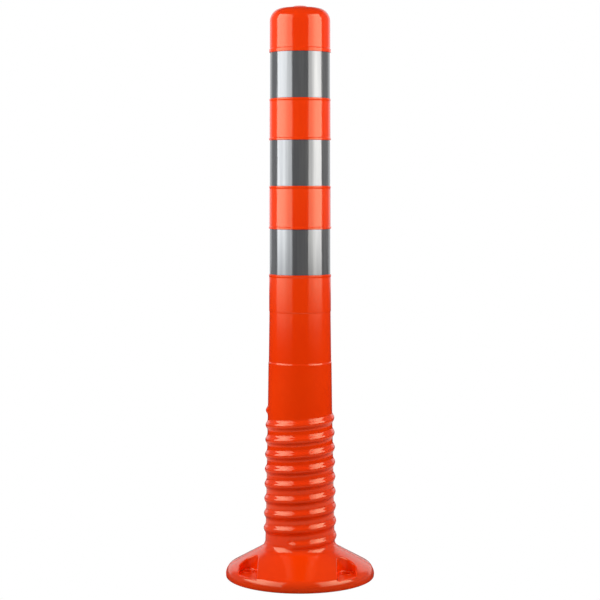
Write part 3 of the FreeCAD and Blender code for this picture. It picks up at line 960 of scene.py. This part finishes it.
def floor_with_painted_bounce():
    """A floor that looks plain white to the camera. To the post it glows instead of lighting it: painted shade
    near the post, a bright ring of painted bounce light where the softboxes would light the floor, and dim far
    out.
    """
    material, tree = new_material("floor_with_painted_bounce")
    place = add(tree, "ShaderNodeTexCoord").outputs["Object"]
    away = add(tree, "ShaderNodeVectorMath", {0: place}, operation="LENGTH").outputs["Value"]
    shares = add(tree, "ShaderNodeValToRGB", {"Fac": away})
    ramp = shares.color_ramp.elements
    # Painted light: painted shade near the post, a warm ring of painted bounce light from 0.45 to 0.75 m, dim
    # again by 1 m.
    ramp[0].position, ramp[0].color = 0.12, (0.06, 0.06, 0.06, 1)
    ramp[1].position, ramp[1].color = 1.0, (0.02, 0.02, 0.02, 1)
    for metres, bright in ((0.45, 0.5), (0.75, 0.5)):
        ramp.new(metres).color = (bright, bright * 0.85, bright * 0.78, 1)
    direct = add(tree, "ShaderNodeLightPath").outputs["Is Camera Ray"]
    seen = add(tree, "ShaderNodeEmission", {"Strength": 1.0})
    # The painted bounce glow, sent to the post but never seen by the camera.
    painted_bounce_glow = add(tree, "ShaderNodeEmission", {"Color": shares.outputs["Color"], "Strength": 1.2})
    mix = add(tree, "ShaderNodeMixShader", {0: direct, 1: painted_bounce_glow.outputs[0], 2: seen.outputs[0]})
    add(tree, "ShaderNodeOutputMaterial", {"Surface": mix.outputs[0]})
    return material


def stage_mesh(name, points, faces, material):
    mesh = bpy.data.meshes.new(name)
    mesh.from_pydata(points, [], faces)
    mesh.materials.append(material)
    thing = bpy.data.objects.new(name, mesh)
    bpy.context.scene.collection.objects.link(thing)
    return thing


floor = stage_mesh(
    "floor",
    [(-6, -6, -0.0005), (6, -6, -0.0005), (6, 6, -0.0005), (-6, 6, -0.0005)],
    [(0, 1, 2, 3)],
    floor_with_painted_bounce(),
)
print("floor at", floor.data.vertices[0].co.z, "m")

# %% [markdown]
# ## The softboxes
#
# Each softbox is a curved panel of glowing cloth. A flat one would do, but a curved one keeps one
# distance from the post, so that the width of its reflection follows from its two angles alone. The right
# one is a little warmer than the left one.

# %% Softboxes
PANEL_DISTANCE, PANEL_TOP, PANEL_FULL = 1.2, 1.70, 0.43  # metres; full is where the cloth's fading ends
PANEL_INNER, PANEL_OUTER = 2.2, 4.1  # brightness
WARM, COOL = (1.0, 1.0, 0.95, 1), (0.96, 1.0, 1.0, 1)


def softbox(name, near, far, foot, colour):
    """A curved panel that stands upright round the post, between two angles from the camera's direction.

    The cloth's outer half is the brighter one, and it fades to nothing towards its foot.
    """
    distance, full, top = PANEL_DISTANCE, PANEL_FULL, PANEL_TOP
    turns = np.linspace(math.radians(near), math.radians(far), 25)
    points = []
    for z in (foot, top):
        for turn in turns:
            at = CAMERA_AZIMUTH + turn
            points.append((distance * math.cos(at), distance * math.sin(at), z))
    faces = [(i, i + 1, 26 + i, 25 + i) for i in range(24)]
    material, tree = new_material(name)
    place = add(tree, "ShaderNodeTexCoord").outputs["Object"]
    split = add(tree, "ShaderNodeSeparateXYZ", {0: place})
    turn = add(tree, "ShaderNodeMath", {0: split.outputs["Y"], 1: split.outputs["X"]}, operation="ARCTAN2")
    share = add(
        tree,
        "ShaderNodeMapRange",
        {
            "Value": turn.outputs[0],
            "From Min": CAMERA_AZIMUTH + math.radians(0.85 * near + 0.15 * far),
            "From Max": CAMERA_AZIMUTH + math.radians(0.45 * near + 0.55 * far),
            "To Min": PANEL_INNER,
            "To Max": PANEL_OUTER,
        },
        interpolation_type="SMOOTHSTEP",
    )
    faded = {"Value": split.outputs["Z"], "From Min": foot, "From Max": full}
    fade = add(tree, "ShaderNodeMapRange", faded).outputs["Result"]
    both = add(tree, "ShaderNodeMath", {0: share.outputs["Result"], 1: fade}, operation="MULTIPLY")
    glow = add(tree, "ShaderNodeEmission", {"Color": colour, "Strength": both.outputs[0]})
    add(tree, "ShaderNodeOutputMaterial", {"Surface": glow.outputs[0]})
    panel = stage_mesh(name, points, faces, material)
    panel.visible_camera = False
    return panel


softbox("softbox_right", 32, 89, foot=0.262, colour=WARM)
softbox("softbox_left", -29, -96, foot=0.245, colour=COOL)

# %% [markdown]
# ## The camera
#
# A long lens, about two metres away and a little below the crown, looks down slightly, so that the upper
# edges of the tapes curve less than the flange does.

# %% Camera
CAMERA_DISTANCE, CAMERA_HEIGHT, CAMERA_PITCH = 2.1368, 0.5263, math.radians(4.081)
LENS = 96.07
eye = Vector(
    (
        CAMERA_DISTANCE * math.cos(CAMERA_AZIMUTH),
        CAMERA_DISTANCE * math.sin(CAMERA_AZIMUTH),
        CAMERA_HEIGHT,
    )
)
ahead = Vector((-math.cos(CAMERA_AZIMUTH), -math.sin(CAMERA_AZIMUTH), -math.tan(CAMERA_PITCH)))
lens = bpy.data.cameras.new("camera")
lens.lens = LENS
camera = bpy.data.objects.new("camera", lens)
bpy.context.scene.collection.objects.link(camera)
camera.location = eye
camera.rotation_euler = ahead.to_track_quat("-Z", "Y").to_euler()
bpy.context.scene.camera = camera
bpy.context.scene.view_settings.view_transform = "Standard"
print("camera at", [round(x, 3) for x in eye])
